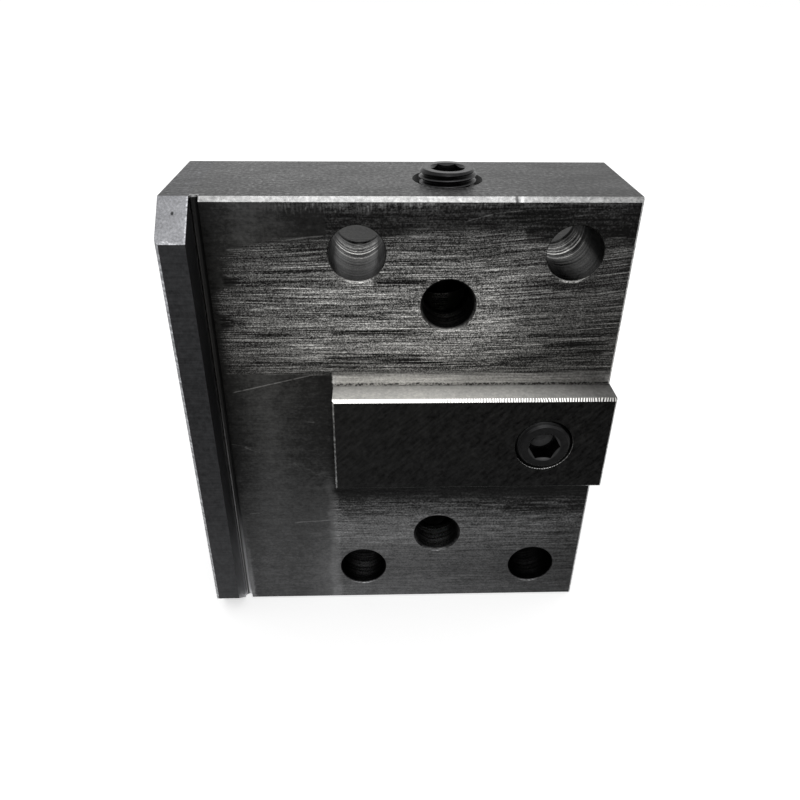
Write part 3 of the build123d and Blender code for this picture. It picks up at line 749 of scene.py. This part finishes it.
def tumbled_spring_steel(settings):
    """Hardened spring steel, tumbled: an even grey with small nicks."""
    material, tree, shader = start_material("Tumbled_spring_steel")
    # Tumbling rounds the corners and leaves a fine random frosting
    at = Surface(tree)
    frost = at.grain(0.4, 21.0, 3.0, 0.7)
    cloud = at.grain(3.0, 22.0)
    tone = 134.0 + frost * 16.0 + cloud * 8.0
    finish_metal(tree, shader, tone, settings.washer_tint, 0.4 + frost * 0.06, frost, 0.02)
    return material


def moulded_nitrile_rubber(settings):
    """Nitrile rubber, moulded: matte black with a faint bloom."""
    material, tree, shader = start_material("Moulded_nitrile_rubber")
    # Moulded rubber scatters light evenly and takes a grey bloom where grease has dried
    bloom = Surface(tree).grain(2.0, 33.0)
    dark = settings.rubber_colour
    pale = tuple(min(1.0, channel * 2.5) for channel in dark[:3]) + (1.0,)
    shades = [(0.2, tuple(dark)), (0.9, pale)]
    colour = add(tree, "ValToRGB", {"Fac": bloom * 0.5 + 0.5}, None, shades)
    connect(tree, shader, {"Base Color": colour, "Roughness": 0.58 + bloom * 0.06, "IOR": 1.52})
    return material


def seen_directly(tree):
    """1 for rays from the camera, from a mirror and through glass, and 0 for diffuse light."""
    path = add(tree, "LightPath")
    camera, glossy, through = (Number(tree, path.outputs[name]) for name in
                               ("Is Camera Ray", "Is Glossy Ray", "Is Transmission Ray"))
    return camera.at_least(glossy).at_least(through)


def matt_painted_board(settings):
    """Board rolled with matt white paint, under and behind the part."""
    material, tree, shader = start_material("Matt_painted_board")
    # The camera and mirror rays see it white, and it still takes the part's shadow
    paint = Surface(tree).grain(260.0, 1.0)
    shades = [(0.2, linear("#e7e7e7")), (0.8, tuple(settings.floor_colour))]
    colour = add(tree, "ValToRGB", {"Fac": paint * 0.5 + 0.5}, None, shades)
    lift = seen_directly(tree) * settings.floor_lift
    connect(tree, shader, {"Base Color": colour, "Roughness": 0.9, "Specular IOR Level": 0.0,
                           "Emission Color": linear("#ffffff"), "Emission Strength": lift})
    return material


# Points this near each other are one, in millimetres, and edges this sharp stay sharp
SAME_PLACE = 0.0005
SHARP_EDGE = math.radians(28)
# How steeply a thread's flank falls, and where beside the middle of the crest it starts to
FLANK_SLOPE = 2.5
FLANK_START = 0.12


class Lathe:
    """A piece built up from rings of points about its own axis. Z is outward and the outer face is at 0."""

    def __init__(self, sides):
        self.work = bmesh.new()
        self.sides = sides
        # The angles run clockwise seen from outside, so that a thread cut along them is right handed
        self.angles = [-2 * math.pi * side / sides for side in range(sides)]

    def ring(self, radius, z):
        """A ring of points. The radius and the height are numbers or functions of the angle."""
        points = []
        for angle in self.angles:
            r = radius(angle) if callable(radius) else radius
            h = z(angle) if callable(z) else z
            points.append(self.work.verts.new((r * math.cos(angle), r * math.sin(angle), h)))
        return points

    def join(self, first, second):
        """Faces between two rings."""
        for side in range(self.sides):
            after = (side + 1) % self.sides
            self.work.faces.new((first[side], first[after], second[after], second[side]))

    def chain(self, *rings):
        """Rings joined one after another. Gives the first and the last."""
        made = [self.ring(*ring) for ring in rings]
        for first, second in zip(made, made[1:]):
            self.join(first, second)
        return made[0], made[-1]

    def close(self, ring, z):
        """Closes a ring with a fan of faces to a point on the axis."""
        tip = self.work.verts.new((0, 0, z))
        for side in range(self.sides):
            self.work.faces.new((ring[side], ring[(side + 1) % self.sides], tip))

    def socket(self, across_flats, depth, face_radius):
        """Outer face with a hexagonal socket: round countersink, six walls and a drilled bottom."""

        def hexagon(angle):
            return across_flats / 2 / math.cos(angle % (math.pi / 3) - math.pi / 6)

        past_corners = 0.12
        slope = 0.8
        rim = across_flats / math.sqrt(3) + past_corners

        def countersink(angle):
            return -slope * (rim - hexagon(angle))

        # The drill for the socket is a little narrower than the hexagon and goes a little deeper
        drilled = across_flats / 2 * 0.94
        bottom = -depth - 0.2
        first, last = self.chain((face_radius, 0.0), (rim, 0.0), (hexagon, countersink), (hexagon, -depth),
                                 (drilled, -depth), (drilled, bottom))
        self.close(last, bottom - drilled * 0.5)
        return first

    def thread(self, radius_at, start, end, pitch, depth, start_chamfer, end_chamfer, rows=10):
        """Right hand thread from a start depth to an end depth, with chamfered ends that are true circles."""
        start_radius = radius_at(start) - start_chamfer
        end_radius = radius_at(end) - end_chamfer
        turns = math.ceil((end - start) / pitch) + 2
        columns = []
        for side, angle in enumerate(self.angles):
            column = []
            for row in range(turns * rows + 1):
                turn = row / rows
                down = start + (turn - 1 + side / self.sides) * pitch
                down = min(max(down, start), end)
                # Flat crest and root, with straight flanks between them
                flank = min(1.0, max(0.0, abs(turn % 1.0 - 0.5) * FLANK_SLOPE - FLANK_START))
                radius = radius_at(down) - depth * flank
                radius = min(radius, start_radius + down - start, end_radius + end - down)
                place = (radius * math.cos(angle), radius * math.sin(angle), -down)
                column.append(self.work.verts.new(place))
            columns.append(column)
        for side in range(self.sides):
            near = columns[side]
            far = columns[(side + 1) % self.sides]
            # After a whole turn the thread has gone down by one pitch
            shift = rows if side == self.sides - 1 else 0
            for row in range(turns * rows - shift):
                self.work.faces.new((near[row], far[row + shift], far[row + 1 + shift], near[row + 1]))
        return start_radius, end_radius

    def finish(self, name, material, node_name, outward, body, slot):
        """Makes the piece that stands for a CAD node, on the node's own axis."""
        self.work.verts.ensure_lookup_table()
        bmesh.ops.remove_doubles(self.work, verts=self.work.verts, dist=SAME_PLACE)
        bmesh.ops.recalc_face_normals(self.work, faces=self.work.faces)
        mesh = bpy.data.meshes.new(name)
        self.work.to_mesh(mesh)
        self.work.free()
        mesh.transform(Matrix.Scale(MM, 4))
        mesh.polygons.foreach_set("use_smooth", [True] * len(mesh.polygons))
        mesh.set_sharp_from_angle(angle=SHARP_EDGE)
        mesh.materials.append(material)
        piece = new_object(name, mesh)
        low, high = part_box(node_name)
        outer = (low + high) / 2
        for axis in range(3):
            if abs(outward[axis]) > 0.5:
                outer[axis] = high[axis] if outward[axis] > 0 else low[axis]
        turn = Vector(outward).to_track_quat("Z", "Y").to_matrix().to_4x4()
        piece.matrix_world = Matrix.Translation(outer) @ turn
        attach(piece, body)
        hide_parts(node_name)
        return piece


def headless_screw(settings, taper, outer_chamfer, inner_chamfer):
    """A threaded piece with a socket in its outer face. The taper is what its radius loses a millimetre."""
    radius = settings.diameter / 2 / MM
    length = settings.length / MM
    screw = Lathe(sides=96)
    ends = screw.thread(lambda down: radius - down * taper, 0.0, length, settings.pitch / MM,
                        settings.thread_depth / MM, outer_chamfer, inner_chamfer)
    screw.socket(settings.across_flats / MM, settings.socket_depth / MM, ends[0])
    screw.close(screw.ring(ends[1], -length), -length)
    return screw


def length_property(name, description, millimetres):
    """A length in metres that a user can change, with its default in millimetres."""
    return bpy.props.FloatProperty(name=name, description=description, default=millimetres * MM, min=0.0,
                                   precision=5, unit="LENGTH")


def number_property(name, description, default):
    """A number from 0 up that a user can change."""
    return bpy.props.FloatProperty(name=name, description=description, default=default, min=0.0)


def angle_property(name, description, degrees):
    """An angle that a user can change, with its default in degrees."""
    return bpy.props.FloatProperty(name=name, description=description, default=math.radians(degrees),
                                   subtype="ANGLE")


def colour_property(name, description, hex_colour):
    """A colour that a user can change, with its default as an sRGB hex colour."""
    return bpy.props.FloatVectorProperty(name=name, description=description, default=linear(hex_colour),
                                         size=4, min=0.0, max=1.0, subtype="COLOR")


class HolderStudioSettings(bpy.types.PropertyGroup):
    """Camera, lamps and floor."""

    camera_place: bpy.props.FloatVectorProperty(
        name="Camera place", description="Where the camera stands", default=(-0.020208, -0.150329, 0.101816),
        size=3, subtype="TRANSLATION", unit="LENGTH")
    camera_dip: angle_property("Camera dip", "How far the camera looks down", 31.569)
    camera_turn: angle_property("Camera turn", "How far the camera turns to the right", 2.186)
    camera_roll: angle_property("Camera roll", "How far the camera rolls", 0.731)
    camera_lens: bpy.props.FloatProperty(
        name="Lens", description="Focal length on a 36 mm wide sensor", default=31.70, unit="CAMERA")
    lamp_radiance: number_property("Lamp", "Brightness of the main lamp, where 1 is white", 2.2)
    back_lamp_radiance: number_property("Back lamp", "Brightness of the lamp behind, where 1 is white", 0.9)
    world_light: number_property("World", "Brightness of the room as a light, where 1 is white", 0.62)
    floor_lift: number_property("Floor lift", "What the camera adds to the floor's own brightness", 0.60)
    floor_colour: colour_property("Floor colour", "Colour of the board under the part", "#eaeaea")


class HolderBodySettings(bpy.types.PropertyGroup):
    """Steel of the block and the marks on it."""

    steel_tint: colour_property("Steel tint", "Tint of the block's steel at full brightness", "#fffffe")
    scratch_length: length_property("Scratch length", "Mean length of the fine marks on the face", 14.0)
    scratch_width: length_property("Scratch width", "Mean width of the fine marks on the face", 0.19)
    # The drill's feed is 0.35 mm a turn, drawn coarser so that its rings show
    drill_ring_spacing: length_property("Drill ring spacing", "Spacing of the rings in the holes", 1.1)
    serration_pitch: length_property("Serration pitch", "Pitch of the file marks on the key's edge", 0.65)


class HolderPlugSettings(bpy.types.PropertyGroup):
    """Taper plugs with a 55 degree pipe thread."""

    oxide_tint: colour_property("Oxide tint", "Tint of the black oxide at full brightness", "#fdfdff")
    diameter: length_property("Diameter", "Crest diameter of the thread at the outer end", 13.5)
    length: length_property("Length", "Length of a plug", 10.0)
    taper: number_property("Taper", "Taper on the diameter", 1 / 16)
    pitch: length_property("Pitch", "Pitch of the thread", 1.337)
    thread_depth: length_property("Thread depth", "Depth of the thread", 0.8)
    across_flats: length_property("Across flats", "Width of the hexagon socket", 7.0)
    socket_depth: length_property("Socket depth", "Depth of the hexagon socket", 5.0)


class HolderClampScrewSettings(bpy.types.PropertyGroup):
    """Set screws that hold the drill's shank."""

    oxide_tint: colour_property("Oxide tint", "Tint of the black oxide at full brightness", "#fdfdff")
    diameter: length_property("Diameter", "Crest diameter of the thread", 12.0)
    length: length_property("Length", "Length of a screw", 12.0)
    pitch: length_property("Pitch", "Pitch of the thread", 1.75)
    thread_depth: length_property("Thread depth", "Depth of the thread", 1.0)
    point_chamfer: length_property("Point chamfer", "Chamfer at the end that presses on the shank", 1.6)
    across_flats: length_property("Across flats", "Width of the hexagon socket", 6.0)
    socket_depth: length_property("Socket depth", "Depth of the hexagon socket", 5.0)


class HolderRearCapSettings(bpy.types.PropertyGroup):
    """Rear cap, its low head screws, washers and O-ring."""

    cap_tint: colour_property("Cap tint", "Tint of the cap's steel at full brightness", "#fefeff")
    # The feed is 0.15 mm a turn, drawn at 0.6 mm so that it shows
    turned_ring_spacing: length_property("Turned ring spacing", "Spacing of the tool marks on the cap", 0.6)
    washer_tint: colour_property("Washer tint", "Tint of the washers' steel at full brightness", "#fffffc")
    rubber_colour: colour_property("Rubber colour", "Colour of the O-ring", "#141414")
    oxide_tint: colour_property("Oxide tint", "Tint of the screws' black oxide at full brightness", "#fdfdff")
    screw_diameter: length_property("Screw diameter", "Crest diameter of the thread", 5.0)
    screw_length: length_property("Screw length", "Length under the head", 16.0)
    screw_pitch: length_property("Pitch", "Pitch of the thread", 0.8)
    head_diameter: length_property("Head diameter", "Diameter of the low head", 8.5)
    head_height: length_property("Head height", "Height of the low head", 3.5)
    across_flats: length_property("Across flats", "Width of the hexagon socket", 3.0)
    socket_depth: length_property("Socket depth", "Depth of the hexagon socket", 2.0)


class HOLDER_OT_studio(bpy.types.Operator):
    """Makes the floor, the lamps, the world and the camera"""

    bl_idname = "holder.studio"
    bl_label = "Studio"

    def execute(self, context):
        settings = context.scene.holder_studio
        self.make_camera(context, settings)
        self.make_floor(settings)
        self.make_lamp("Key_lamp", place=(0.0, -0.62, 1.02), size=(0.62, 0.42),
                       radiance=settings.lamp_radiance)
        self.make_lamp("Back_lamp", place=(0.1, 0.9, 0.9), size=(0.8, 0.5),
                       radiance=settings.back_lamp_radiance)
        self.make_world(context, settings)
        context.scene.view_settings.view_transform = "Standard"
        return {"FINISHED"}

    def make_camera(self, context, settings):
        """The camera at the photograph's viewing angle."""
        data = bpy.data.cameras.new("Camera")
        data.lens = settings.camera_lens
        data.sensor_width = 36
        data.clip_start = 0.001
        camera = new_object("Camera", data)
        camera.matrix_world = (Matrix.Translation(settings.camera_place)
                               @ Matrix.Rotation(-settings.camera_turn, 4, "Z")
                               @ Matrix.Rotation(math.pi / 2 - settings.camera_dip, 4, "X")
                               @ Matrix.Rotation(settings.camera_roll, 4, "Z"))
        context.scene.camera = camera

    def make_floor(self, settings):
        """A wide board that the part stands on."""
        size = 4.0
        work = bmesh.new()
        floor_z = body_low.z * MM
        corners = ((-size, -size), (size, -size), (size, size), (-size, size))
        work.faces.new([work.verts.new((x, y, floor_z)) for x, y in corners])
        mesh = bpy.data.meshes.new("Floor")
        work.to_mesh(mesh)
        work.free()
        floor = new_object("Floor", mesh)
        mesh.materials.append(matt_painted_board(settings))

    def make_lamp(self, name, place, size, radiance):
        """A rectangular soft lamp of a given brightness, aimed at the part."""
        data = bpy.data.lights.new(name, "AREA")
        data.shape = "RECTANGLE"
        data.size, data.size_y = size
        data.energy = radiance * math.pi * size[0] * size[1]
        lamp = new_object(name, data)
        lamp.location = place
        lamp.rotation_euler = (-Vector(place)).to_track_quat("-Z", "Y").to_euler()

    def make_world(self, context, settings):
        """A plain white room."""
        world = bpy.data.worlds.new("Room")
        context.scene.world = world
        world.use_nodes = True
        tree = world.node_tree
        tree.nodes.clear()
        strength = blend(settings.world_light, 1.0, seen_directly(tree))
        background = add(tree, "Background", {"Color": linear("#ffffff"), "Strength": strength})
        add(tree, "OutputWorld", {"Surface": background})


class HOLDER_OT_body(bpy.types.Operator):
    """Gives the machined block its ground and scratched steel"""

    bl_idname = "holder.body"
    bl_label = "Holder body"

    def execute(self, context):
        dress(frame["nodes"]["holder_body"], ground_alloy_steel(context.scene.holder_body))
        return {"FINISHED"}


class HOLDER_OT_plugs(bpy.types.Operator):
    """Makes the three coolant plugs with their threads and sockets"""

    bl_idname = "holder.plugs"
    bl_label = "Coolant plugs"

    def execute(self, context):
        settings = context.scene.holder_plugs
        oxide = black_oxide_steel("Black_oxide_plug_steel", settings.diameter / 2 / MM, settings.oxide_tint)
        for name, outward in (("top", (0, 0, 1)), ("key", (0, -1, 0)), ("side", (1, 0, 0))):
            plug = headless_screw(settings, settings.taper / 2, outer_chamfer=0.9, inner_chamfer=0.95)
            node = "coolant_plug_" + name
            plug.finish("Coolant_plug_" + name, oxide, node, outward, "holder", "plug_steel")
        return {"FINISHED"}


class HOLDER_OT_clamp_screws(bpy.types.Operator):
    """Makes the three clamp screws with their threads and sockets"""

    bl_idname = "holder.clamp_screws"
    bl_label = "Clamp screws"

    def execute(self, context):
        settings = context.scene.holder_clamp_screws
        rim_radius = settings.diameter / 2 / MM
        point_chamfer = settings.point_chamfer / MM
        oxide = black_oxide_steel("Black_oxide_clamp_screw_steel", rim_radius, settings.oxide_tint)
        for name in ("front", "middle", "rear"):
            screw = headless_screw(settings, taper=0.0, outer_chamfer=1.1, inner_chamfer=point_chamfer)
            node = "clamp_screw_" + name
            screw.finish("Clamp_screw_" + name, oxide, node, (0, 1, 0), node, "clamp_screw_steel")
        return {"FINISHED"}


class HOLDER_OT_rear_cap(bpy.types.Operator):
    """Dresses the rear cap, its washers and O-ring, and makes its screws"""

    bl_idname = "holder.rear_cap"
    bl_label = "Rear cap"

    def execute(self, context):
        settings = context.scene.holder_rear_cap
        nodes = frame["nodes"]
        dress(nodes["rear_cap"], turned_steel(settings))
        dress(nodes["rear_cap_oring"], moulded_nitrile_rubber(settings))
        washer_finish = tumbled_spring_steel(settings)
        rim_radius = settings.head_diameter / 2 / MM
        oxide = black_oxide_steel("Black_oxide_cap_screw_steel", rim_radius, settings.oxide_tint)
        for name, node in nodes.items():
            if name.startswith("rear_cap_spring_washer"):
                dress(node, washer_finish)
            if name.startswith("rear_cap_screw"):
                self.make_screw(settings, name, oxide)
        return {"FINISHED"}

    def make_screw(self, settings, node_name, oxide):
        """Low head screw: knurled head with a hexagon socket, and a threaded shank."""
        head = settings.head_diameter / 2 / MM
        under = settings.head_height / MM
        shank = settings.screw_diameter / 2 / MM
        end = under + settings.screw_length / MM
        knurls = 36
        face = head - 0.5
        neck = head - 0.18
        root = shank - 0.5
        screw = Lathe(sides=knurls * 2)

        def knurl(angle):
            return head - 0.07 * (1 + math.cos(knurls * angle))

        screw.socket(settings.across_flats / MM, settings.socket_depth / MM, face)
        screw.chain((face, 0.0), (neck, -0.3), (knurl, -0.5), (knurl, -under + 0.4), (neck, -under + 0.2),
                    (head - 0.3, -under), (root, -under))
        ends = screw.thread(lambda down: shank, under, end, settings.screw_pitch / MM, depth=0.48,
                            start_chamfer=0.5, end_chamfer=0.6, rows=6)
        screw.close(screw.ring(ends[1], -end), -end)
        number = node_name.rsplit("_", 1)[1]
        screw.finish("Rear_cap_screw_" + number, oxide, node_name, (1, 0, 0), "holder", "cap_screw_steel")


class HOLDER_PT_panel(bpy.types.Panel):
    """Lists the steps that dress the drill holder"""

    bl_label = "Drill Holder"
    bl_space_type = "VIEW_3D"
    bl_region_type = "UI"
    bl_category = "Drill Holder"

    def draw(self, context):
        for step in STEPS:
            self.layout.operator(step.bl_idname)
        for name, group in SETTINGS.items():
            box = self.layout.box()
            for field in group.__annotations__:
                box.prop(getattr(context.scene, name), field)


STEPS = [HOLDER_OT_studio, HOLDER_OT_body, HOLDER_OT_plugs, HOLDER_OT_clamp_screws, HOLDER_OT_rear_cap]
SETTINGS = {
    "holder_studio": HolderStudioSettings,
    "holder_body": HolderBodySettings,
    "holder_plugs": HolderPlugSettings,
    "holder_clamp_screws": HolderClampScrewSettings,
    "holder_rear_cap": HolderRearCapSettings,
}


def register():
    """Registers the classes and the settings."""
    for name, group in SETTINGS.items():
        bpy.utils.register_class(group)
        setattr(bpy.types.Scene, name, bpy.props.PointerProperty(type=group))
    for step in STEPS + [HOLDER_PT_panel]:
        bpy.utils.register_class(step)


def unregister():
    """Takes the classes and the settings out again."""
    for step in reversed(STEPS + [HOLDER_PT_panel]):
        bpy.utils.unregister_class(step)
    for name, group in SETTINGS.items():
        delattr(bpy.types.Scene, name)
        bpy.utils.unregister_class(group)


def main():
    """Runs each step in order."""
    register()
    bpy.ops.holder.studio()
    bpy.ops.holder.body()
    bpy.ops.holder.plugs()
    bpy.ops.holder.clamp_screws()
    bpy.ops.holder.rear_cap()


if __name__ == "__main__":
    main()
